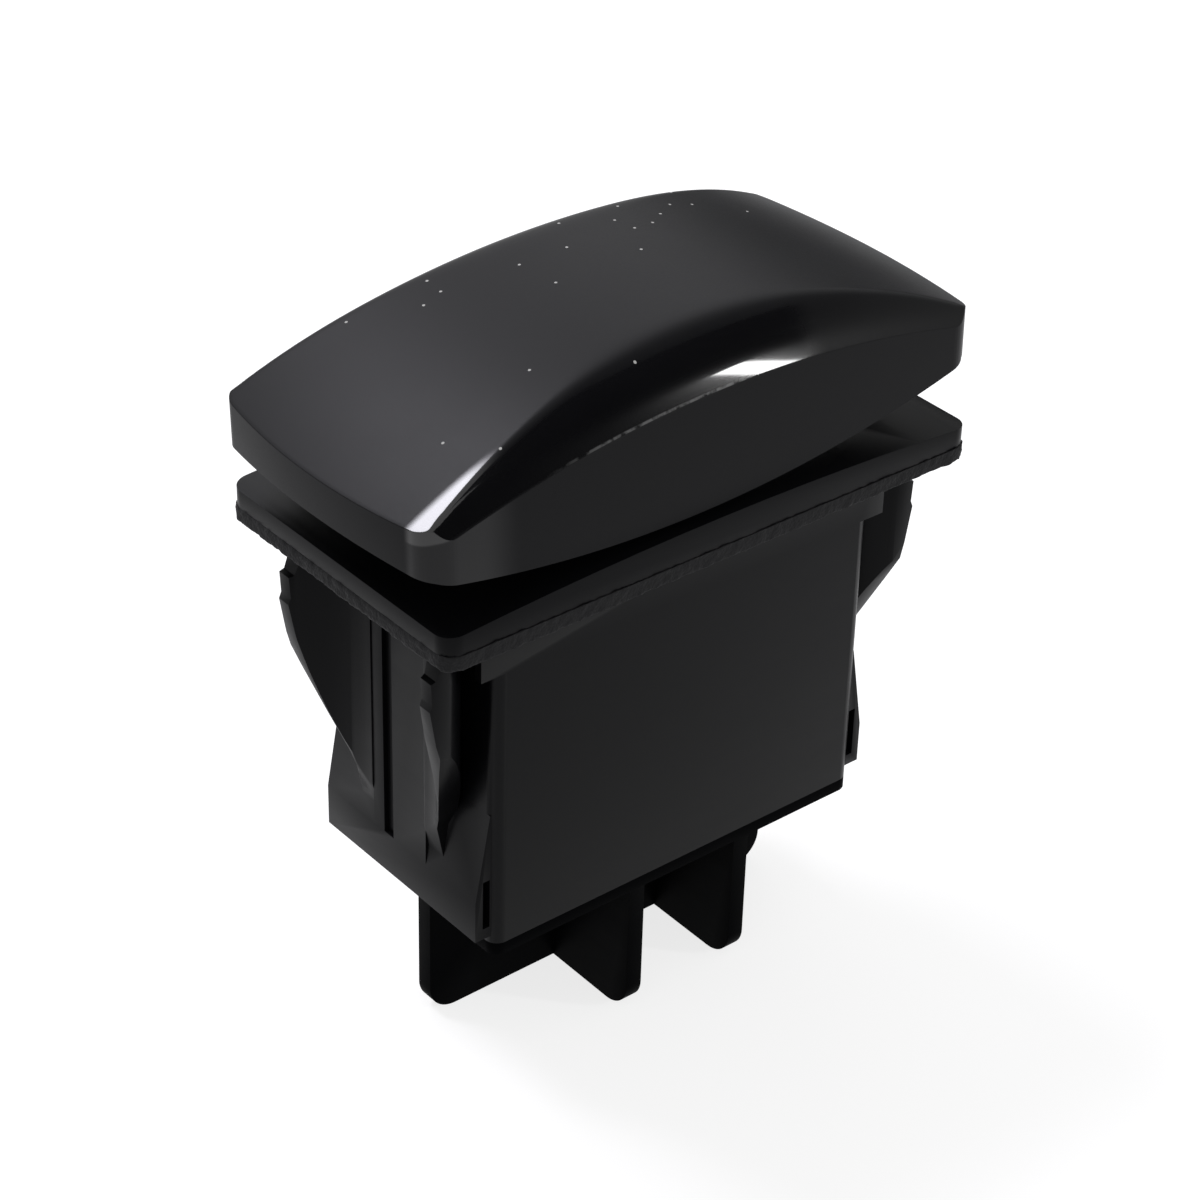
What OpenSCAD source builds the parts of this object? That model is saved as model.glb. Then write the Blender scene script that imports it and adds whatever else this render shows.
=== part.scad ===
// Sealed three-position panel rocker switch, single pole.
// X runs along the switch, Y across it and Z out of the panel.
// The origin is the middle of the panel's front face, which the gasket presses on.

/* [Bezel and gasket] */
// Length of the bezel
bezel_l = 46.7; // [45.5:0.1:52]
// Width of the bezel
bezel_w = 25; // [24:0.1:29]
// Thickness of the bezel at its two ends
bezel_t = 1.4; // [1:0.1:2.4]
// Rise of the bezel's top from the ends to the middle
bezel_rise = 0.95; // [0.4:0.05:1.3]
// Radius of the bezel's corners
bezel_r = 1.4; // [0.6:0.1:3]
// Thickness of the panel gasket
gasket_t = 1.2; // [0.8:0.1:2]

/* [Housing] */
// Length of the housing behind the panel
body_l = 34; // [33:0.1:35]
// Width of the housing behind the panel
body_w = 18.9; // [18.7:0.1:20.5]
// Depth of the housing behind the panel's front face
body_d = 28.2; // [27.5:0.1:32]
// Radius of the housing's vertical corners
body_r = 1; // [0.6:0.1:1.6]
// Wall of the housing
wall = 1.5; // [1.2:0.1:1.7]
// Length of the panel cut-out
cutout_l = 36.8; // [36.6:0.1:38]

/* [Snap legs] */
// Reach of a snap tooth past the cut-out's end
tooth_reach = 3.6; // [2.4:0.1:4]
// Distance from the panel's front face to the top of the snap legs
leg_top = 2.3; // [2.2:0.1:3]
// Width of one snap leg
leg_w = 5.7; // [5:0.1:5.9]
// Thickness of a snap leg
leg_t = 1.6; // [1.2:0.1:1.9]
// Width of the pillar between two snap legs
pillar_w = 6.2; // [5:0.1:6.4]

/* [Rocker] */
// Length of the rocker's long edges
cap_l = 47.4; // [44:0.1:50]
// Width of the rocker
cap_w = 23.9; // [22.5:0.1:26]
// How far the rocker's ends bow outwards
cap_bulge = 1.25; // [0.8:0.05:2.4]
// Radius of the rocker's vertical corners
cap_r = 1.3; // [0.8:0.1:2.4]
// Height of the rocker's crest over the panel
crest_z = 17; // [16.8:0.1:20]
// Radius of the crest along the rocker
crest_r = 52; // [48:0.5:70]
// Height of the side wall's upper edge at mid length
side_z = 13.2; // [12.6:0.1:13.6]
// Radius of the side wall's upper edge
side_r = 87; // [80:1:120]
// Radius of the shoulder between the top and the side walls
shoulder_r = 6; // [5.6:0.1:6.6]
// Height of the rocker's lower edge at mid length
low_z = 4.2; // [4.2:0.1:5]
// Radius of the rocker's lower edge
low_r = 92; // [86:1:110]
// Wall of the rocker
cap_wall = 1.8; // [1.4:0.1:2.2]
// Turn of the rocker to either side of level, in degrees
throw_angle = 6; // [4:0.5:6]
// How far the rocker's right end stands up from level at rest, in degrees
rest_turn = 1.5; // [0:0.1:2]

/* [Mechanism] */
// Depth of the rocker's pivot behind the panel's front face
pivot_d = 2; // [1.9:0.1:2.4]
// Diameter of the pivot pin
pin_d = 2.4; // [2:0.1:2.6]
// Distance of the switched pole from the middle
pole_y = 4.2; // [4.1:0.1:4.4]
// Diameter of the plunger
plunger_d = 3.1; // [2.6:0.1:3.4]
// Depth of the contact lever's pivot behind the panel's front face
fulcrum_d = 17; // [16.6:0.1:17.4]
// Half length of the contact lever
lever_reach = 9.6; // [9.4:0.1:10]
// Width of the contact lever
lever_w = 4.6; // [4:0.1:4.8]
// Distance of the contacts from the lever's pivot
contact_x = 8; // [7.6:0.1:8]
// Diameter of the moving contacts
contact_d = 3; // [2.4:0.1:3.1]
// Wire of the plunger spring
wire_d = 0.4; // [0.3:0.05:0.5]

/* [Terminals and barriers] */
// Width of a terminal blade
blade_w = 6.3; // [5.4:0.1:6.3]
// Thickness of a terminal blade
blade_t = 0.8; // [0.5:0.1:1]
// Length of a blade below the base
blade_l = 8.2; // [6.5:0.1:9]
// Distance of the outer blades from the middle
blade_x = 10.3; // [10.1:0.1:10.6]
// Height of the barrier walls under the base
barrier_h = 11.4; // [10:0.1:14]
// Thickness of the barrier walls
barrier_t = 1.4; // [1:0.1:1.5]
// Distance of the two cross barriers from the middle between them
barrier_x = 5; // [4.8:0.1:5.4]
// How far the two cross barriers stand to the right of the middle
barrier_shift = 1.2; // [0:0.1:1.4]

/* [Hidden] */
$fn = 64;

// Clearances
fit = 0.05;             // sliding and running fits
slip = 0.15;            // parts that drop into a pocket
eps = 0.01;

// Bezel and gasket
gasket_lip = 0.1;
bezel_top_r = (pow(bezel_l / 2, 2) + pow(bezel_rise, 2)) / (2 * bezel_rise);
bezel_mid_z = gasket_t + bezel_t + bezel_rise;

// Housing: cavity, and the wider recess for the boot above its ledge
in_l = body_l - 2 * wall;
in_w = body_w - 2 * wall;
ledge_z = -0.6;
rim_wall = wall * 0.55;
rim_l = body_l - 2 * rim_wall;
rim_w = body_w - 2 * rim_wall;
flange_t = 1;           // the base's flange closes the housing from below
shell_bottom = -body_d + flange_t;

// Ends of the housing
end_x = cutout_l / 2 - slip;
ear_t = 0.7;
ear_z = -4.3;
foot_bottom = -body_d + 1.6;
foot_top = foot_bottom + 3.4;
foot_w = body_w - 1.1;
ramp_top = foot_top + 7.1;
leg_l = -leg_top - foot_top;
tooth_x = cutout_l / 2 + tooth_reach;

// Rocker
cap_end_r = (pow(cap_w / 2, 2) + pow(cap_bulge, 2)) / (2 * cap_bulge);
shoulder_y = cap_w / 2 - sqrt(pow(shoulder_r, 2) - pow(crest_z - shoulder_r - side_z, 2));
shoulder_z = crest_z - shoulder_r;
deck_z = 10.5;          // where the rocker's ribs sit on the actuator
deck_t = 1.6;
deck_l = 28;
deck_w = 16;
post_l = 12;
post_w = 10;
rib_x = deck_l / 2 - 5;
rib_t = 1.6;
clip_x = deck_l / 2 - 2.5;
clip_t = 1.2;
clip_w = 5;

// Pivot and plunger
pivot_z = -pivot_d;
hub_r = pin_d / 2 + 1.7;
tube_r = plunger_d / 2 + fit + 0.9;
tube_bottom = -12;
tube_top = pivot_z - hub_r + 1;
bore_top = -5.4;

// Boot
boot_t = 0.8;
fold_l = post_l + 7;
fold_w = post_w + 3;
collar_t = 1;

// Contact lever, measured from its own pivot
fulcrum_z = -fulcrum_d;
lever_t = 0.8;
lever_under = -0.2;
valley_z = 1.35;
peak_x = 2.4;
peak_z = 1.6;
knife_r = 0.5;
plunger_tip = fulcrum_z + valley_z + 0.25;
plunger_top = -8.6;
contact_t = 0.7;
rivet_r = 0.6;
lever_ratio = 0.7;
lever_turn = throw_angle * lever_ratio;
bracket_l = 4.4;
bracket_t = 0.7;

// Fixed contacts and terminals
contact_low = (contact_x + contact_d / 2) * sin(lever_turn)
            + (contact_t - lever_under) * cos(lever_turn);
fixed_top = fulcrum_z - contact_low - 0.12;
fixed_t = 0.6;
pad_top = fixed_top - fixed_t;
pad_t = 0.8;
base_top = pad_top - pad_t;
pad_l = 6;
seal_z = -body_d + 2.5;
seal_h = 1.4;
seal_depth = 0.45;
sealant_t = 0.8;
blade_bottom = -body_d - blade_l;
barrier_l = body_l - 1.7;
barrier_r = 2.3;
barrier_at = [barrier_shift - barrier_x, barrier_shift + barrier_x];

// ---------- shared shapes ----------

module round_rect(l, w, r) {
    square([l - 2 * r, w], center = true);
    square([l, w - 2 * r], center = true);
    for (x = [-1, 1], y = [-1, 1])
        translate([x * (l / 2 - r), y * (w / 2 - r)]) circle(r);
}

module slab(l, w, r, z0, z1) {
    translate([0, 0, z0]) linear_extrude(z1 - z0) round_rect(l, w, r);
}

module box(x0, x1, y0, y1, z0, z1) {
    translate([x0, y0, z0]) cube([x1 - x0, y1 - y0, z1 - z0]);
}

// An outline drawn in X and Z, given its width along Y
module across(y0, y1) {
    translate([0, y1, 0]) rotate([90, 0, 0]) linear_extrude(y1 - y0) children();
}

// A drum whose axis runs along Y through x = 0
module drum(r, z, l, fn = 64) {
    translate([0, 0, z]) rotate([90, 0, 0]) cylinder(r = r, h = l, center = true, $fn = fn);
}

// Turns a piece with the rocker, about the pivot pin
module rocking() {
    translate([0, 0, pivot_z]) rotate([0, -rest_turn, 0]) translate([0, 0, -pivot_z]) children();
}

// Turns a piece with the contact lever, about its fulcrum
module tipping() {
    translate([0, 0, fulcrum_z]) rotate([0, rest_turn * lever_ratio, 0])
        translate([0, 0, -fulcrum_z]) children();
}

// ---------- housing ----------

module bezel_plate() {
    intersection() {
        slab(bezel_l, bezel_w, bezel_r, gasket_t, bezel_mid_z);
        drum(bezel_top_r, bezel_mid_z - bezel_top_r, bezel_w + 2, 720);
    }
}

// Side view of a snap leg: two teeth, a slope and a root that runs into the foot
module leg_outline() {
    step_x = tooth_x - cutout_l / 2 - 1.1;
    translate([0, -leg_top]) polygon([
        [body_l / 2 - eps, 0],
        [tooth_x - 0.8, 0],
        [tooth_x - 0.5, -leg_l * 0.04],
        [tooth_x - 0.1, -leg_l * 0.046],
        [tooth_x - 0.2, -leg_l * 0.127],
        [tooth_x, -leg_l * 0.15],
        [tooth_x - 0.5, -leg_l * 0.29],
        [end_x + step_x, -leg_l * 0.425],
        [end_x + step_x * 0.58, -leg_l * 0.595],
        [end_x + step_x * 0.2, -leg_l * 0.74],
        [end_x, -leg_l * 0.855],
        [end_x - 0.6, -leg_l],
        [body_l / 2 - eps, -leg_l],
    ]);
}

// Plan of a snap leg: a leaf that leaves the pillar and curves outwards to its teeth
module leg_plan() {
    root_x = end_x + 0.1;
    rise = tooth_x - root_x;
    run = leg_w * 0.8;
    curve_r = (rise * rise + run * run) / (2 * rise);
    y0 = pillar_w / 2 - eps;
    intersection() {
        translate([body_l / 2 - eps, y0]) square([tooth_x - body_l / 2 + 1, leg_w]);
        translate([root_x + curve_r, y0]) difference() {
            circle(curve_r + leg_t);
            circle(curve_r);
        }
    }
}

// Front view of a snap leg: the outer edge narrows towards the root
module leg_front() {
    y0 = pillar_w / 2 - eps;
    polygon([
        [y0, -leg_top + eps], [y0 + leg_w, -leg_top + eps],
        [y0 + leg_w, -leg_top - leg_l * 0.35], [y0 + leg_w * 0.3, -leg_top - leg_l * 0.795],
        [y0 + leg_w * 0.3, foot_top], [y0, foot_top],
    ]);
}

module snap_leg() {
    intersection() {
        across(0, body_w) leg_outline();
        translate([0, 0, foot_top]) linear_extrude(-foot_top) leg_plan();
        rotate([90, 0, 90]) linear_extrude(tooth_x + 1) leg_front();
    }
}

// Pillar, foot with its ramp, ears beside the cut-out's ends and two snap legs
module housing_end() {
    groove_w = 1.1;
    groove_y = -1.3;
    difference() {
        union() {
            across(-foot_w / 2, foot_w / 2) polygon([
                [body_l / 2 - 1, ramp_top], [body_l / 2, ramp_top],
                [end_x, foot_top], [end_x, foot_bottom], [body_l / 2 - 1, foot_bottom],
            ]);
            box(body_l / 2 - 1, end_x, -pillar_w / 2, pillar_w / 2, foot_bottom, -leg_top - 0.4);
        }
        box(end_x - 0.4, end_x + 1, groove_y - groove_w / 2, groove_y + groove_w / 2,
            foot_top, 0);
        for (s = [-1, 1]) translate([0, s * foot_w / 2, 0])
            box(body_l / 2, body_l / 2 + 0.6, -0.7, 0.7, foot_bottom + 0.9, foot_top + 1.6);
    }
    for (s = [-1, 1]) mirror([0, s < 0 ? 1 : 0, 0]) {
        box(body_l / 2 - body_r, end_x, body_w / 2 - ear_t, body_w / 2, ear_z, gasket_t);
        snap_leg();
    }
}

module housing() {
    color("#1c1d20") difference() {
        union() {
            bezel_plate();
            slab(body_l, body_w, body_r, shell_bottom, gasket_t + eps);
            housing_end();
            rotate([0, 0, 180]) housing_end();
        }
        slab(in_l, in_w, 0.5, shell_bottom - 1, bezel_mid_z + 1);
        slab(rim_l, rim_w, 0.8, ledge_z, bezel_mid_z + 1);
        // open-topped seats for the pivot pin
        for (s = [-1, 1]) mirror([0, s < 0 ? 1 : 0, 0]) {
            translate([0, in_w / 2 - 1, pivot_z]) rotate([-90, 0, 0])
                cylinder(r = pin_d / 2 + fit, h = rim_w / 2 - in_w / 2 + 1);
            box(-pin_d / 2 - fit, pin_d / 2 + fit, in_w / 2 - 1, rim_w / 2, pivot_z, ledge_z + 1);
        }
    }
}

module panel_gasket() {
    color("#141416") difference() {
        slab(bezel_l + 2 * gasket_lip, bezel_w + 2 * gasket_lip, bezel_r, 0, gasket_t);
        slab(2 * end_x + 0.2, body_w + 0.2, 0.1, -1, gasket_t + 1);
    }
}

// ---------- base ----------

// One barrier wall along X with rounded lower corners
module barrier(l) {
    translate([0, 0, -body_d - barrier_h]) across(-barrier_t / 2, barrier_t / 2) {
        translate([-l / 2, barrier_r]) square([l, barrier_h - barrier_r]);
        translate([barrier_r - l / 2, 0]) square([l - 2 * barrier_r, barrier_r]);
        for (s = [-1, 1]) translate([s * (l / 2 - barrier_r), barrier_r]) circle(barrier_r);
    }
}

module blade_slot(x) {
    box(x - blade_t / 2 - fit, x + blade_t / 2 + fit,
        pole_y - blade_w / 2 - fit, pole_y + blade_w / 2 + fit, -body_d - 1, base_top + 1);
}

module base() {
    color("#1a1b1e") difference() {
        union() {
            slab(body_l, body_w, body_r, -body_d, shell_bottom);
            slab(in_l - 2 * slip, in_w - 2 * slip, 0.5, shell_bottom - eps, base_top);
            barrier(barrier_l);
            for (x = barrier_at) translate([x, 0, 0]) rotate(90) barrier(body_w - 0.2);
        }
        difference() {
            slab(in_l + 1, in_w + 1, 0.5, seal_z, seal_z + seal_h);
            slab(in_l - 2 * seal_depth, in_w - 2 * seal_depth, 0.5, seal_z - 1, seal_z + seal_h + 1);
        }
        for (x = [-blade_x, 0, blade_x]) blade_slot(x);
        sealant_pockets(0);
    }
}

module base_seal() {
    color("#3a2a26") difference() {
        slab(in_l, in_w, 0.5, seal_z, seal_z + seal_h);
        slab(in_l - 2 * seal_depth, in_w - 2 * seal_depth, 0.5, seal_z - 1, seal_z + seal_h + 1);
    }
}

// Shallow pockets round the blades, between the barriers
module sealant_pockets(inset) {
    for (x = [-blade_x, 0, blade_x]) {
        near = min(abs(x - barrier_at[0]), abs(x - barrier_at[1]));
        reach = min(near - barrier_t / 2 - 0.4, body_l / 2 - abs(x) - 1);
        box(x - reach + inset, x + reach - inset, barrier_t / 2 + 0.3 + inset,
            body_w / 2 - 1 - inset, -body_d - (inset > 0 ? 0 : eps), -body_d + sealant_t - inset);
    }
}

module terminal_sealant() {
    color("#5b5550") difference() {
        sealant_pockets(0.02);
        for (x = [-blade_x, 0, blade_x]) blade_slot(x);
    }
}

// ---------- terminals and contacts ----------

// A blade with a pointed tip and its hole, and a pad that lies on the base
module terminal(x, pad0, pad1) {
    tip = 1.4;
    difference() {
        union() {
            translate([x - blade_t / 2, pole_y, 0]) rotate([90, 0, 90]) linear_extrude(blade_t)
                polygon([
                    [-blade_w / 2, pad_top], [-blade_w / 2, blade_bottom + tip],
                    [-blade_w / 2 + tip * 0.7, blade_bottom], [blade_w / 2 - tip * 0.7, blade_bottom],
                    [blade_w / 2, blade_bottom + tip], [blade_w / 2, pad_top],
                ]);
            box(pad0, pad1, pole_y - lever_w / 2, pole_y + lever_w / 2, base_top, pad_top);
        }
        translate([x - 1, pole_y, blade_bottom + 3.4]) rotate([0, 90, 0]) cylinder(d = 1.7, h = 2);
        if (x != 0) translate([sign(x) * contact_x, pole_y, base_top - 1])
            cylinder(r = rivet_r + fit / 2, h = pad_t + 2);
    }
}

module common_terminal() {
    color("#c9a65a") terminal(0, -pad_l / 2, pad_l / 2);
}

module left_terminal() {
    color("#c9a65a") terminal(-blade_x, -blade_x - blade_t / 2, -contact_x + contact_d / 2 + 0.5);
}

module right_terminal() {
    color("#c9a65a") terminal(blade_x, contact_x - contact_d / 2 - 0.5, blade_x + blade_t / 2);
}

module fixed_contact(x) {
    color("#d9dadd") translate([x, pole_y, 0]) {
        translate([0, 0, pad_top]) cylinder(d = contact_d + 0.3, h = fixed_t);
        translate([0, 0, base_top]) cylinder(r = rivet_r, h = pad_t + eps);
    }
}

module fixed_contact_left() { fixed_contact(-contact_x); }
module fixed_contact_right() { fixed_contact(contact_x); }

// A stamped foot with the rounded edge that the lever tips on
module fulcrum_bracket() {
    color("#c9a65a") across(pole_y - lever_w / 2, pole_y + lever_w / 2) {
        translate([-bracket_l / 2, pad_top]) square([bracket_l, bracket_t]);
        translate([-knife_r, pad_top]) square([2 * knife_r, fulcrum_z - pad_top]);
        translate([0, fulcrum_z]) circle(knife_r);
    }
}

// ---------- pivot, boot and clamp ----------

module pivot_pin() {
    color("#9aa0a6") drum(pin_d / 2, pivot_z, rim_w - 2 * slip);
}

// Rubber boot: rim on the ledge, one fold and a collar that grips the post
module sealing_boot() {
    color("#232427") difference() {
        union() {
            slab(rim_l - 2 * fit, rim_w - 2 * fit, 0.8, ledge_z, ledge_z + boot_t);
            slab(fold_l, fold_w, 2, ledge_z, ledge_z + 2 * boot_t);
            slab(post_l + 2 * collar_t, post_w + 2 * collar_t, 1, ledge_z, ledge_z + 4 * boot_t);
        }
        slab(fold_l - 2 * boot_t, fold_w - 2 * boot_t, 1.4, ledge_z - 1, ledge_z + boot_t);
        rocking() slab(post_l + 2 * fit, post_w + 2 * fit, 0.8, ledge_z - 1, ledge_z + 5 * boot_t);
    }
}

// Frame pressed in over the boot's rim; it keeps the pivot pin down as well
module boot_clamp() {
    color("#26272b") difference() {
        slab(rim_l - 2 * fit, rim_w - 2 * fit, 0.8, ledge_z + boot_t, bezel_mid_z - 0.4);
        slab(in_l - 4, fold_w + 1.4, 2, ledge_z, bezel_mid_z + 1);
    }
}

// ---------- rocker ----------

// Plan with bowed ends and rounded corners, drawn in by inset all round
module cap_plan(inset) {
    r = cap_r - min(inset, cap_r - 0.4);
    end_r = cap_end_r - inset;
    w = cap_w - 2 * inset;
    cx = cap_l / 2 + cap_bulge - cap_end_r;
    corner_x = cx + sqrt(pow(end_r - r, 2) - pow(w / 2 - r, 2));
    module bowed(er) {
        intersection() {
            translate([cx, 0]) circle(er, $fn = 360);
            translate([-cx, 0]) circle(er, $fn = 360);
        }
    }
    intersection() {
        bowed(end_r);
        square([cap_l + 2 * cap_bulge + 2, w - 2 * r], center = true);
    }
    intersection() {
        bowed(end_r - r);
        square([cap_l + 2 * cap_bulge + 2, w], center = true);
    }
    for (x = [-1, 1], y = [-1, 1]) translate([x * corner_x, y * (w / 2 - r)]) circle(r);
}

// Crest and shoulders: a drum for the crest, cut by a ring whose section is rounded
module cap_form(inset, z0) {
    rho = shoulder_r - inset;
    ring_r = side_r + shoulder_z - side_z;
    intersection() {
        translate([0, 0, z0]) linear_extrude(crest_z - z0 + 1) cap_plan(inset);
        drum(crest_r - inset, crest_z - crest_r, cap_w + 2, 360);
        translate([0, 0, side_z - side_r]) rotate([90, 0, 0]) rotate_extrude($fn = 360) {
            translate([0, -shoulder_y]) square([ring_r + rho, 2 * shoulder_y]);
            translate([0, -shoulder_y - rho]) square([ring_r, 2 * (shoulder_y + rho)]);
            for (s = [-1, 1]) translate([ring_r, s * shoulder_y]) circle(rho, $fn = 96);
        }
    }
}

module rocker_cap() {
    color("#26272a") {
        difference() {
            intersection() {
                cap_form(0, 0);
                drum(low_r, low_z + low_r, cap_w + 2, 360);
            }
            cap_form(cap_wall, -1);
        }
        // ribs that sit on the actuator's deck
        intersection() {
            cap_form(cap_wall - 0.2, deck_z);
            for (s = [-1, 1]) box(s * rib_x - rib_t / 2, s * rib_x + rib_t / 2,
                                  -cap_w / 2, cap_w / 2, deck_z, crest_z);
        }
        // clips that go down through the deck
        for (s = [-1, 1]) mirror([s < 0 ? 1 : 0, 0, 0]) {
            intersection() {
                cap_form(cap_wall - 0.2, deck_z - deck_t - clip_t);
                box(clip_x, clip_x + clip_t, -clip_w / 2, clip_w / 2, deck_z - deck_t - clip_t, crest_z);
            }
            box(clip_x - 0.5, clip_x + eps, -clip_w / 2, clip_w / 2,
                deck_z - deck_t - clip_t, deck_z - deck_t - fit);
        }
    }
}

module actuator() {
    color("#2b2c30") difference() {
        union() {
            slab(deck_l, deck_w, 1.5, deck_z - deck_t, deck_z);
            slab(post_l, post_w, 0.8, pivot_z, deck_z - deck_t / 2);
            drum(hub_r, pivot_z, post_w);
            translate([0, pole_y, tube_bottom]) cylinder(r = tube_r, h = tube_top - tube_bottom);
        }
        drum(pin_d / 2 + fit, pivot_z, post_w + 2);
        translate([0, pole_y, tube_bottom - 1])
            cylinder(r = plunger_d / 2 + fit, h = bore_top - tube_bottom + 1);
        // windows for the rocker's clips
        for (s = [-1, 1]) mirror([s < 0 ? 1 : 0, 0, 0])
            box(clip_x - fit, clip_x + clip_t + slip, -clip_w / 2 - slip, clip_w / 2 + slip,
                deck_z - deck_t - 1, deck_z + 1);
    }
}

module plunger() {
    r = plunger_d / 2;
    color("#e8e4d8") translate([0, pole_y, 0]) {
        translate([0, 0, plunger_tip + r]) {
            sphere(r);
            cylinder(r = r, h = plunger_top - plunger_tip - r);
        }
    }
}

// Helix of round wire between the plunger and the end of its bore
module plunger_spring() {
    turns = 5;
    steps = 14;
    sides = 6;
    coil_r = plunger_d / 2 - wire_d / 2 - 0.1;
    z0 = plunger_top + wire_d / 2 + eps;
    rise = bore_top - plunger_top - wire_d - 2 * eps;
    count = turns * steps;
    points = [for (i = [0 : count], k = [0 : sides - 1])
        let (a = i * 360 / steps, b = k * 360 / sides,
             r = coil_r + wire_d / 2 * cos(b))
        [r * cos(a), r * sin(a), z0 + rise * i / count + wire_d / 2 * sin(b)]];
    walls = [for (i = [0 : count - 1], k = [0 : sides - 1])
        let (p = i * sides + k, q = i * sides + (k + 1) % sides)
        [p, p + sides, q + sides, q]];
    first = [for (k = [0 : sides - 1]) k];
    last = [for (k = [sides - 1 : -1 : 0]) count * sides + k];
    color("#b4b8bc") translate([0, pole_y, 0])
        polyhedron(points, concat(walls, [first, last]));
}

// ---------- contact lever ----------

module lever_outline() {
    top = lever_under + lever_t;
    difference() {
        polygon([
            [-lever_reach, top], [-peak_x - 2.2, top], [-peak_x, peak_z], [0, valley_z],
            [peak_x, peak_z], [peak_x + 2.2, top], [lever_reach, top],
            [lever_reach, lever_under], [3.4, lever_under], [2, 0],
            [-2, 0], [-3.4, lever_under], [-lever_reach, lever_under],
        ]);
        circle(knife_r + 0.1);
    }
}

module contact_lever() {
    color("#b87333") difference() {
        translate([0, 0, fulcrum_z])
            across(pole_y - lever_w / 2, pole_y + lever_w / 2) lever_outline();
        for (s = [-1, 1]) translate([s * contact_x, pole_y, fulcrum_z - 2])
            cylinder(r = rivet_r + fit / 2, h = 5);
    }
}

module moving_contact(x) {
    head = 0.35;
    color("#d9dadd") translate([x, pole_y, fulcrum_z + lever_under]) {
        translate([0, 0, -contact_t]) cylinder(d = contact_d, h = contact_t);
        cylinder(r = rivet_r, h = lever_t + head);
        translate([0, 0, lever_t]) cylinder(r = rivet_r + 0.4, h = head);
    }
}

module moving_contact_left() { moving_contact(-contact_x); }
module moving_contact_right() { moving_contact(contact_x); }

// ---------- nodes ----------

housing();
panel_gasket();
base();
base_seal();
terminal_sealant();
common_terminal();
left_terminal();
right_terminal();
fixed_contact_left();
fixed_contact_right();
fulcrum_bracket();
pivot_pin();
sealing_boot();
boot_clamp();
rocking() rocker_cap();
rocking() actuator();
rocking() plunger();
rocking() plunger_spring();
tipping() contact_lever();
tipping() moving_contact_left();
tipping() moving_contact_right();
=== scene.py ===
"""Looks of a sealed panel rocker switch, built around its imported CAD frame.

The frame is in metres; sizes below are in millimetres and scaled by MM.
X runs along the switch, Y across it, Z out of the panel.
"""
import math

import bpy
from mathutils import Matrix, Vector


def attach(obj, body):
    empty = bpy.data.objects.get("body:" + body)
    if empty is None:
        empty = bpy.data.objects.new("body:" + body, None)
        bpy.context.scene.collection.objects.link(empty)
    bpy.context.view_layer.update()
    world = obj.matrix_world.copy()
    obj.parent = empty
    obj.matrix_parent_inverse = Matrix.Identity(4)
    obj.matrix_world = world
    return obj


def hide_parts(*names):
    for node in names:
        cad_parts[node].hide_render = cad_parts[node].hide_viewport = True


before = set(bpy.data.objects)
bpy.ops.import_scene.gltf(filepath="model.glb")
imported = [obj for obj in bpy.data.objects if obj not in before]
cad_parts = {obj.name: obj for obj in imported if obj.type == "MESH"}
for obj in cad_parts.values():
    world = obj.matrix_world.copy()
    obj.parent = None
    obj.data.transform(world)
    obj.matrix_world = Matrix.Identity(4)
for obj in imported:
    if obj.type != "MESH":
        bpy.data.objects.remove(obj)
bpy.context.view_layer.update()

MM = 0.001

# Camera: direction in degrees, its target and distance in mm, and its offsets from that line
VIEW_AZIMUTH, VIEW_ELEVATION, VIEW_ROLL = -39.965, 32.856, 1.609
VIEW_TARGET = (0, 0, -7.41)
VIEW_DISTANCE = 232.9
VIEW_RIGHT, VIEW_UP = -0.252, -1.858
SENSOR = 36
LENS = 97.398

# Rocker, level: plan
CAP_LENGTH = 47.4
CAP_WIDTH = 23.9
CAP_BOW = 1.25
CAP_CORNER = 1.9
# Rocker: crest of the top, and the arched upper and lower edges of its side walls
CREST_Z = 16.9
CREST_R = 52.0
CROWN = 0.4
CROWN_MIDDLE = 0.35
SIDE_Z = 13.2
SIDE_R = 87.0
LOW_Z = 4.2
LOW_R = 92.0
# Rocker: shoulder, first a slow bend and then a tighter band below a crease
SHOULDER_R = 6.0
BEND = 1.9
BEND_DROP = 0.09
BAND_R = 7.2
BAND_START = math.radians(24)
CREASE_BLEND = 0.3
CREST_BLEND = 0.25
SHOULDER_Z = CREST_Z - SHOULDER_R
SHOULDER_Y = CAP_WIDTH / 2 - math.sqrt(SHOULDER_R ** 2 - (SHOULDER_Z - SIDE_Z) ** 2)
# Rocker: wall, rounded upper edge, and its turn at rest about the pivot
CAP_WALL = 1.8
CAP_EDGE = 0.45
PIVOT_Z = -2.0
REST_TURN = math.radians(1.5)
# Rocker's grid: cells along and across, and how far they crowd towards the edges
CELLS_ALONG, CELLS_ACROSS = 160, 140
CROWD_ALONG, CROWD_ACROSS = 0.92, 0.85

# Where the shoulder is polished, from not at all to fully: depth under the crest, reach out
# from the shoulder's start, and distance from the middle; then the same for the near corner
POLISH_DEPTH = (0.2, 0.45)
POLISH_REACH = (SHOULDER_Y + 2.9, SHOULDER_Y + 3.3)
POLISH_END = (20.0, 22.5)
POLISH_FADE = (7.0, 10.0)
CORNER_REACH = (SHOULDER_Y + 3.0, SHOULDER_Y + 3.7)
CORNER_LENGTH = (16.5, 20.0)
WALL_EDGE = 0.12

# Moulded edges and foam
EDGE_ANGLE = 28
MERGE = 0.002
FOAM_EDGE = 0.1
FOAM_VOXEL = 0.17
FOAM_CELL = 0.55
FOAM_RELIEF = 0.22

FLOOR_Z = -39.6
FLOOR_SIZE = 6000

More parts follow.
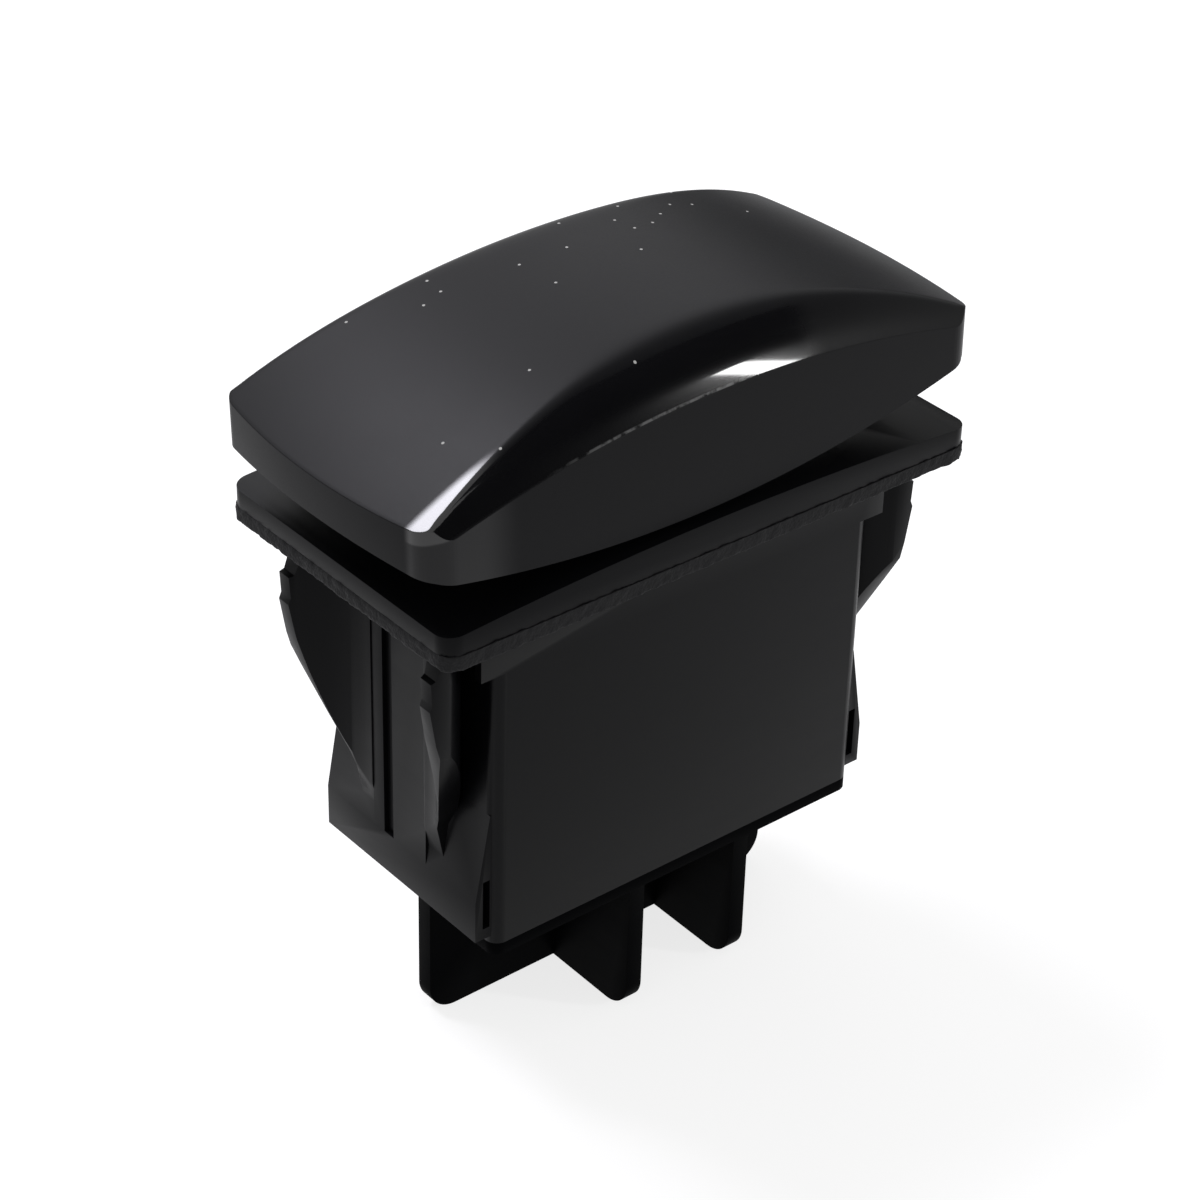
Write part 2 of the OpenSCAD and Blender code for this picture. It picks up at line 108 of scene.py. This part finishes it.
# Colours
CAP_BLACKS = ((0.0032, 0.0032, 0.0038), (0.0052, 0.0052, 0.0061))
HOUSING_BLACK = (0.0030, 0.0031, 0.0037)
BASE_BLACK = (0.0016, 0.0017, 0.0020)
FOAM_BLACKS = ((0.003, 0.003, 0.0035), (0.012, 0.012, 0.013))
RESIN_BROWNS = ((0.09, 0.075, 0.06), (0.16, 0.135, 0.11))
# painted highlight: light grey of the thin line along the near shoulder's lower edge
PAINTED_HIGHLIGHT_GREY = (0.16, 0.16, 0.16)
DUST_GREY = (0.42, 0.42, 0.4)
PLUNGER_CREAM = (0.75, 0.72, 0.64)
SEAL_BROWN = (0.1, 0.05, 0.04)
BOOT_BLACK = (0.02, 0.02, 0.022)
BRASS = (0.72, 0.5, 0.2)
SILVER = (0.75, 0.75, 0.74)
STEEL = (0.45, 0.46, 0.48)
COPPER = (0.66, 0.32, 0.14)
COOL_LIGHT = (0.93, 0.92, 1.0)


# ---------- modelling helpers ----------

def deselect():
    if bpy.context.object and bpy.context.object.mode != "OBJECT":
        bpy.ops.object.mode_set(mode="OBJECT")
    bpy.ops.object.select_all(action="DESELECT")


def activate(piece):
    deselect()
    piece.select_set(True)
    bpy.context.view_layer.objects.active = piece
    return piece


def named(name):
    piece = bpy.context.object
    piece.name = piece.data.name = name
    return piece


def object_mode():
    bpy.ops.object.mode_set(mode="OBJECT")


def modify(piece, kind, **settings):
    """Adds a modifier with its settings and applies it."""
    activate(piece)
    modifier = piece.modifiers.new(kind.title(), kind)
    for key, value in settings.items():
        setattr(modifier, key, value)
    bpy.ops.object.modifier_apply(modifier=modifier.name)


def smooth(piece, degrees):
    activate(piece)
    bpy.ops.object.shade_smooth_by_angle(angle=math.radians(degrees))


def moulded_copy(node, name, radius):
    """A merged copy of a frame node with its edges rounded as a mould leaves them."""
    activate(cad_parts[node])
    bpy.ops.object.duplicate()
    piece = named(name)
    piece.data.materials.clear()
    bpy.ops.object.mode_set(mode="EDIT")
    bpy.ops.mesh.select_all(action="SELECT")
    bpy.ops.mesh.remove_doubles(threshold=MERGE * MM)
    bpy.ops.mesh.dissolve_limited(angle_limit=math.radians(0.5))
    object_mode()
    modify(piece, "BEVEL", width=radius * MM, segments=2, limit_method="ANGLE",
           angle_limit=math.radians(EDGE_ANGLE), use_clamp_overlap=True, profile=0.6)
    smooth(piece, EDGE_ANGLE)
    return piece


# ---------- camera, light and floor ----------

def aim_camera():
    azimuth, elevation, roll = (
        math.radians(v) for v in (VIEW_AZIMUTH, VIEW_ELEVATION, VIEW_ROLL))
    back = Vector((math.sin(azimuth) * math.cos(elevation),
                   -math.cos(azimuth) * math.cos(elevation), math.sin(elevation)))
    level = Vector((math.cos(azimuth), math.sin(azimuth), 0))
    upright = back.cross(level)
    right = level * math.cos(roll) + upright * math.sin(roll)
    up = upright * math.cos(roll) - level * math.sin(roll)
    eye = Vector(VIEW_TARGET) + back * VIEW_DISTANCE + right * VIEW_RIGHT + up * VIEW_UP
    bpy.ops.object.camera_add()
    camera = named("camera")
    turn = Matrix((right, up, back)).transposed().to_4x4()
    camera.matrix_world = Matrix.Translation(eye * MM) @ turn
    camera.data.sensor_width = SENSOR
    camera.data.lens = LENS
    camera.data.clip_start = 0.01
    bpy.context.scene.camera = camera


def lamp(name, place, size, power, colour=(1, 1, 1)):
    bpy.ops.object.light_add(type="AREA", location=[v * MM for v in place])
    light = named(name)
    light.data.shape = "RECTANGLE"
    light.data.size, light.data.size_y = (v * MM for v in size)
    light.data.energy = power
    light.data.color = colour
    light.rotation_euler = Vector(place).to_track_quat("Z", "Y").to_euler()


def card(name, place, size, finish):
    """A dark studio card that only reflections see."""
    bpy.ops.mesh.primitive_plane_add(size=1)
    flag = named(name)
    flag.scale = (size[0] * MM, size[1] * MM, 1)
    flag.location = [v * MM for v in place]
    flag.rotation_euler = Vector(place).to_track_quat("Z", "Y").to_euler()
    bpy.ops.object.transform_apply(location=True, rotation=True, scale=True)
    flag.visible_camera = False
    flag.visible_shadow = False
    flag.visible_diffuse = False
    flag.data.materials.append(finish)


# ---------- shader helper ----------

class Socket:
    """An output socket that adds Math nodes when it is used in an expression."""

    def __init__(self, finish, output):
        self.finish = finish
        self.output = output

    def _math(self, operation, a, b=None):
        values = [a] if b is None else [a, b]
        return self.finish.node("ShaderNodeMath", {"operation": operation}, values)

    def __add__(self, other): return self._math("ADD", self, other)
    def __radd__(self, other): return self._math("ADD", other, self)
    def __sub__(self, other): return self._math("SUBTRACT", self, other)
    def __rsub__(self, other): return self._math("SUBTRACT", other, self)
    def __mul__(self, other): return self._math("MULTIPLY", self, other)
    def __rmul__(self, other): return self._math("MULTIPLY", other, self)
    def __gt__(self, other): return self._math("GREATER_THAN", self, other)
    def __lt__(self, other): return self._math("LESS_THAN", self, other)
    def __abs__(self): return self._math("ABSOLUTE", self)

    def most(self, other):
        """The larger of the two."""
        return self._math("MAXIMUM", self, other)

    def sister(self, name):
        """Another output of the node that this one belongs to."""
        return Socket(self.finish, self.output.node.outputs[name])

    def step(self, low, high):
        """0 below low, 1 above high, and a soft ramp between them."""
        return self.finish.node(
            "ShaderNodeMapRange", {"interpolation_type": "SMOOTHSTEP"},
            {"Value": self, "From Min": low, "From Max": high, "To Min": 0.0, "To Max": 1.0})


class Finish:
    """A material, or the world, whose nodes are all made by node()."""

    def __init__(self, name, world=None):
        self.material = world or bpy.data.materials.new(name)
        self.material.use_nodes = True
        self.tree = self.material.node_tree
        self.tree.nodes.clear()
        if world is None:
            self.place = self.node("ShaderNodeTexCoord", {}, {}, "Object")

    def node(self, kind, settings, inputs, output=0):
        """Adds a node: its settings, the values or links of its inputs, and the output wanted."""
        made = self.tree.nodes.new(kind)
        for key, value in settings.items():
            setattr(made, key, value)
        pairs = inputs.items() if isinstance(inputs, dict) else enumerate(inputs)
        for key, value in pairs:
            if isinstance(value, Socket):
                self.tree.links.new(value.output, made.inputs[key])
            else:
                made.inputs[key].default_value = value
        return None if output is None else Socket(self, made.outputs[output])

    def axes(self):
        """Object coordinates as three sockets, in millimetres."""
        split = self.node("ShaderNodeSeparateXYZ", {}, [self.place])
        return [split.sister(axis) * (1 / MM) for axis in "XYZ"]

    def noise(self, size, detail, roughness=0.55, stretch=(1, 1, 1)):
        """Noise whose blobs are about size millimetres across."""
        spread = self.node("ShaderNodeMapping", {}, {"Vector": self.place, "Scale": stretch})
        return self.node("ShaderNodeTexNoise", {}, {
            "Vector": spread, "Scale": 1 / (size * MM), "Detail": detail,
            "Roughness": roughness})

    def mix(self, amount, first, second):
        """Mixes two colours; an (r, g, b) triple or a socket on either side."""
        colours = [c if isinstance(c, Socket) else (*c, 1) for c in (first, second)]
        return self.node("ShaderNodeMix", {"data_type": "RGBA"},
                         {0: amount, 6: colours[0], 7: colours[1]}, 2)

    def bump(self, height, distance, strength):
        """Relief for Normal; the distance is in millimetres."""
        return self.node("ShaderNodeBump", {}, {
            "Height": height, "Distance": distance * MM, "Strength": strength})

    def close(self, **inputs):
        """Ends the material in one Principled shader."""
        shader = self.node("ShaderNodeBsdfPrincipled", {}, {
            key.replace("_", " "): (*value, 1) if key.endswith("Color") and
            isinstance(value, tuple) else value for key, value in inputs.items()})
        self.node("ShaderNodeOutputMaterial", {}, {"Surface": shader}, None)
        return self.material


# ---------- finishes ----------

def moulded_plastic(name, colour, roughness, specular):
    """Moulded black plastic: faint clouds of colour, a fine skin and a few flow streaks."""
    f = Finish(name)
    clouds = f.noise(6.0, 3.0)
    skin = f.noise(0.08, 2.0)
    streaks = f.noise(1.6, 2.0, 0.6, (0.18, 0.18, 1.0))
    dark, light = (tuple(c * k for c in colour) for k in (0.72, 1.28))
    return f.close(
        Base_Color=f.mix(clouds * 0.6 + 0.2, dark, light),
        Roughness=roughness + (streaks - 0.5) * 0.1 + (clouds - 0.5) * 0.08,
        Specular_IOR_Level=specular,
        Normal=f.bump(skin, 0.004, 0.5))


def rocker_plastic():
    """Satin top and walls, with a polished band on the two rounded shoulders."""
    f = Finish("rocker_plastic")
    across, y, up = f.axes()
    # the rocker's own level coordinates, turned back from its rest position
    sine, cosine = math.sin(REST_TURN), math.cos(REST_TURN)
    x = across * cosine + (up - PIVOT_Z) * sine
    z = (up - PIVOT_Z) * cosine - across * sine + PIVOT_Z
    crest = CREST_Z - x * x * (0.5 / CREST_R) - x * x * x * x * (0.125 / CREST_R ** 3)
    above_wall = z - (SIDE_Z - x * x * (0.5 / SIDE_R))
    polish = (crest - z).step(*POLISH_DEPTH) * abs(y).step(*POLISH_REACH)
    polish = polish * (1 - abs(x).step(*POLISH_END))
    corner = (0 - y).step(*CORNER_REACH) * (0 - x).step(*CORNER_LENGTH)
    polish = polish.most(corner) * above_wall.step(-WALL_EDGE, WALL_EDGE)
    polish = polish * (1 - x.step(*POLISH_FADE))
    clouds = f.noise(9.0, 3.0)
    skin = f.noise(0.16, 2.0)
    fine = f.noise(0.05, 1.0)
    specks = dust(f, y, z)
    satin = 0.4 + (clouds - 0.5) * 0.08 + (skin - 0.5) * 0.1
    rough = satin * (1 - polish) + (0.17 + clouds * 0.06) * polish
    # a thin painted highlight line, light grey in the base colour, where the near shoulder meets
    # the wall
    painted_highlight = above_wall.step(-0.04, 0.03) * (1 - above_wall.step(0.1, 0.2))
    painted_highlight = painted_highlight * (0 - y).step(10.0, 10.5) * x.step(-15.0, -8.0) * (1 - x.step(1.0, 4.0))
    painted_highlight = painted_highlight * f.noise(0.7, 2.0).step(0.35, 0.6)
    colour = f.mix(painted_highlight, f.mix(clouds, *CAP_BLACKS), PAINTED_HIGHLIGHT_GREY)
    return f.close(
        Base_Color=f.mix(specks, colour, DUST_GREY),
        Roughness=rough.most(specks * 0.8),
        Specular_IOR_Level=0.09,
        Coat_Weight=polish * 0.65 + corner * 0.3,
        Coat_Roughness=0.06,
        Normal=f.bump(skin * 0.6 + fine * 0.4, 0.006, 0.35))


def dust(f, y, z):
    """A few pale grains of dust on the top, most of them near its far edge."""
    cells = f.node("ShaderNodeTexVoronoi", {"voronoi_dimensions": "2D"},
                   {"Vector": f.place, "Scale": 1 / (1.9 * MM)})
    chance = f.node("ShaderNodeSeparateXYZ", {}, [cells.sister("Color")])
    far = y.step(-2.0, 10.0) * z.step(12.0, 14.5)
    kept = (chance > (0.975 - far * 0.28)) * (z > 13.4)
    return (cells < 0.055) * kept


def gasket_foam():
    f = Finish("gasket_foam")
    cells = f.node("ShaderNodeTexVoronoi", {}, {"Vector": f.place, "Scale": 1 / (0.22 * MM)})
    clouds = f.noise(1.2, 4.0)
    return f.close(
        Base_Color=f.mix(clouds, *FOAM_BLACKS),
        Roughness=0.78 + (clouds - 0.5) * 0.2,
        Specular_IOR_Level=0.25,
        Normal=f.bump(cells + clouds * 0.6, 0.05, 0.8))


def rubber(name, colour):
    f = Finish(name)
    clouds = f.noise(2.5, 4.0)
    return f.close(
        Base_Color=f.mix(clouds, tuple(c * 0.7 for c in colour), colour),
        Roughness=0.6 + (clouds - 0.5) * 0.25,
        Specular_IOR_Level=0.3,
        Normal=f.bump(f.noise(0.12, 2.0), 0.01, 0.5))


def stamped_metal(name, colour, roughness, tarnish):
    """Rolled strip: fine lines along the blade and clouds of tarnish."""
    f = Finish(name)
    lines = f.noise(0.25, 3.0, 0.6, (1.0, 1.0, 0.06))
    clouds = f.noise(2.2, 4.0)
    return f.close(
        Base_Color=f.mix(clouds.step(0.45, 0.75) * tarnish, colour,
                         tuple(c * 0.55 for c in colour)),
        Metallic=1.0,
        Roughness=roughness + (lines - 0.5) * 0.16 + (clouds - 0.5) * 0.12,
        Normal=f.bump(lines, 0.004, 0.6))


def cured_resin():
    f = Finish("cured_resin")
    clouds = f.noise(1.8, 3.0)
    return f.close(
        Base_Color=f.mix(clouds, *RESIN_BROWNS),
        Roughness=0.22 + clouds * 0.12,
        Coat_Weight=0.4,
        Normal=f.bump(clouds, 0.08, 0.6))


def dark_card():
    f = Finish("dark_card")
    return f.close(Base_Color=(0.01, 0.01, 0.01), Roughness=0.9, Specular_IOR_Level=0.2)


def seen(f):
    """1 for the rays that carry the white background: direct, reflected and transmitted."""
    path = f.node("ShaderNodeLightPath", {}, {}, "Is Camera Ray")
    return path.most(path.sister("Is Glossy Ray")).most(path.sister("Is Transmission Ray"))


def floor_white():
    """A pale floor that keeps the shadow and is near white to the rays that carry white."""
    f = Finish("floor_white")
    return f.close(
        Base_Color=(0.36, 0.36, 0.36), Roughness=0.9, Specular_IOR_Level=0.0,
        Emission_Color=f.mix(seen(f), (0.0, 0.0, 0.0), (1.0, 1.0, 1.0)),
        Emission_Strength=0.78)


def white_world():
    world = bpy.data.worlds.new("studio")
    bpy.context.scene.world = world
    f = Finish("studio", world)
    sky = f.node("ShaderNodeBackground", {}, {
        "Color": (1, 1, 1, 1), "Strength": seen(f) * 0.6 + 0.4})
    f.node("ShaderNodeOutputWorld", {}, {"Surface": sky}, None)


# ---------- rocker ----------

def cap_outline(u, v):
    """Maps the square -1..1 onto the rocker's plan: bowed ends and rounded corners."""
    half = CAP_WIDTH / 2
    end_r = (half ** 2 + CAP_BOW ** 2) / (2 * CAP_BOW)
    y = v * half
    end_x = CAP_LENGTH / 2 + CAP_BOW - end_r + math.sqrt(end_r ** 2 - y ** 2)
    x = u * end_x
    # corner: the square cell beside each corner is drawn onto a quarter disc
    dx = abs(x) - (end_x - CAP_CORNER)
    dy = abs(y) - (half - CAP_CORNER)
    if dx > 0 and dy > 0:
        pull = max(dx, dy) / math.hypot(dx, dy)
        x = math.copysign(end_x - CAP_CORNER + dx * pull, x)
        y = math.copysign(half - CAP_CORNER + dy * pull, y)
    return x, y


def soft_min(a, b, blend):
    """The smaller of two heights, rounded over where they are within blend of each other."""
    gap = max(0.0, 1 - abs(a - b) / blend)
    return min(a, b) - gap * gap * blend / 4


def cap_height(x, y):
    """Top of the rocker: its crest, then the shoulder that bends down to the side."""
    ring = SIDE_R + SHOULDER_Z - SIDE_Z
    over = max(0.0, abs(y) - SHOULDER_Y)
    top = CREST_Z - ring + math.sqrt(ring ** 2 - x ** 2)
    sine = min(1.0, math.sin(BAND_START) + (over - BEND) / BAND_R)
    fall = BAND_R * (math.cos(BAND_START) - math.sqrt(1 - sine * sine))
    bend = top - BEND_DROP * (over / BEND) ** 2
    shoulder = soft_min(bend, top - BEND_DROP - fall, CREASE_BLEND)
    crest = CREST_Z - CREST_R + math.sqrt(CREST_R ** 2 - x ** 2)
    crown = CROWN * (2 * x / CAP_LENGTH) ** 2 * (CROWN_MIDDLE - (2 * y / CAP_WIDTH) ** 2)
    return soft_min(crest + crown, shoulder, CREST_BLEND)


def rim_height(x):
    """Lower edge of the rocker's wall, in metres like x."""
    return (LOW_Z + LOW_R) * MM - math.sqrt((LOW_R * MM) ** 2 - x ** 2)


def build_rocker():
    """Top skin from a fine grid, drawn down into walls, edges rounded, then given its wall."""
    deselect()
    bpy.ops.mesh.primitive_grid_add(
        x_subdivisions=CELLS_ALONG, y_subdivisions=CELLS_ACROSS, size=2)
    piece = named("rocker_shell")
    for vert in piece.data.vertices:
        u, v = vert.co.x, vert.co.y
        u = math.copysign(abs(u) ** CROWD_ALONG, u)
        v = math.copysign(abs(v) ** CROWD_ACROSS, v)
        x, y = cap_outline(u, v)
        vert.co = Vector((x, y, cap_height(x, y))) * MM
    activate(piece)
    bpy.ops.object.mode_set(mode="EDIT")
    bpy.ops.mesh.select_all(action="SELECT")
    bpy.ops.mesh.region_to_loop()
    bpy.ops.mesh.extrude_edges_move()
    object_mode()
    for vert in piece.data.vertices:
        if vert.select:
            vert.co.z = rim_height(vert.co.x)
    low = {vert.index for vert in piece.data.vertices if vert.select}
    top_edge = {tuple(sorted(key)) for face in piece.data.polygons
                if low.intersection(face.vertices)
                for key in face.edge_keys if not low.intersection(key)}
    for edge in piece.data.edges:
        edge.select = tuple(sorted(edge.vertices)) in top_edge
    bpy.ops.object.mode_set(mode="EDIT")
    bpy.ops.mesh.select_mode(type="EDGE")
    bpy.ops.mesh.bevel(offset=CAP_EDGE * MM, segments=4, profile=0.5, affect="EDGES",
                       clamp_overlap=True)
    bpy.ops.mesh.select_all(action="SELECT")
    bpy.ops.mesh.normals_make_consistent(inside=False)
    object_mode()
    modify(piece, "SOLIDIFY", thickness=CAP_WALL * MM, offset=-1, use_even_offset=False)
    for vert in piece.data.vertices:
        vert.co.z = max(vert.co.z, rim_height(vert.co.x))
    pivot = Matrix.Translation((0, 0, PIVOT_Z * MM))
    piece.data.transform(pivot @ Matrix.Rotation(-REST_TURN, 4, "Y") @ pivot.inverted())
    smooth(piece, 25)
    return piece


def build_foam():
    """The cut foam ring, with the torn cells of its faces as real relief."""
    piece = moulded_copy("panel_gasket", "foam_ring", FOAM_EDGE)
    modify(piece, "REMESH", mode="VOXEL", voxel_size=FOAM_VOXEL * MM, use_smooth_shade=True)
    cells = bpy.data.textures.new("foam_cells", "CLOUDS")
    cells.noise_scale = FOAM_CELL * MM
    cells.noise_depth = 3
    modify(piece, "DISPLACE", texture=cells, texture_coords="LOCAL", strength=FOAM_RELIEF * MM,
           mid_level=0.6)
    smooth(piece, 50)
    return piece


# ---------- the scene ----------

aim_camera()
black = dark_card()
card("card_front", (182, -411, 137), (500, 500), black)
card("card_above", (205, -180, 360), (420, 300), black)
card("card_right", (335, 225, 40), (175, 160), black)

rocker_shell = build_rocker()
rocker_shell.data.materials.append(rocker_plastic())
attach(rocker_shell, "rocker")
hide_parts("rocker_cap")

body_plastic = moulded_plastic("housing_plastic", HOUSING_BLACK, 0.34, 0.075)
base_plastic = moulded_plastic("base_plastic", BASE_BLACK, 0.5, 0.008)

foam_ring = build_foam()
foam_ring.data.materials.append(gasket_foam())
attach(foam_ring, "body")
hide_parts("panel_gasket")

brass = stamped_metal("brass_strip", BRASS, 0.3, 0.6)
silver = stamped_metal("contact_silver", SILVER, 0.26, 0.3)
steel = stamped_metal("drawn_steel", STEEL, 0.3, 0.3)
copper = stamped_metal("copper_strip", COPPER, 0.3, 0.6)

# node: (edge radius in mm, slot, material, body)
ROUNDED = {
    "housing": (0.14, "housing_plastic", body_plastic, "body"),
    "base": (0.16, "base_plastic", base_plastic, "body"),
    "common_terminal": (0.06, "brass", brass, "body"),
    "left_terminal": (0.06, "brass", brass, "body"),
    "right_terminal": (0.06, "brass", brass, "body"),
    "actuator": (0.12, "base_plastic", base_plastic, "rocker"),
    "boot_clamp": (0.1, "base_plastic", base_plastic, "body"),
}
for node, (radius, slot, finish, body) in ROUNDED.items():
    piece = moulded_copy(node, node + "_moulded", radius)
    piece.data.materials.append(finish)
    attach(piece, body)
    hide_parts(node)

NODE_FINISHES = {
    "base_seal": rubber("seal_rubber", SEAL_BROWN),
    "terminal_sealant": cured_resin(),
    "fulcrum_bracket": brass,
    "fixed_contact_left": silver, "fixed_contact_right": silver,
    "moving_contact_left": silver, "moving_contact_right": silver,
    "pivot_pin": steel, "plunger_spring": steel,
    "sealing_boot": rubber("boot_rubber", BOOT_BLACK),
    "plunger": moulded_plastic("plunger_plastic", PLUNGER_CREAM, 0.4, 0.5),
    "contact_lever": copper,
}
for node, finish in NODE_FINISHES.items():
    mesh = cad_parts[node].data
    mesh.materials.clear()
    mesh.materials.append(finish)

# floor
deselect()
bpy.ops.mesh.primitive_plane_add(size=FLOOR_SIZE * MM, location=(0, 0, FLOOR_Z * MM))
floor = named("floor")
floor.data.materials.append(floor_white())

# light
white_world()
lamp("key", (-80, 290, 455), (280, 180), 2.6, COOL_LIGHT)
lamp("back_panel", (190, 390, 320), (400, 260), 0.28, COOL_LIGHT)
lamp("streak_strip", (250, -315, 122), (22, 125), 0.4)

bpy.context.scene.view_settings.view_transform = "Standard"
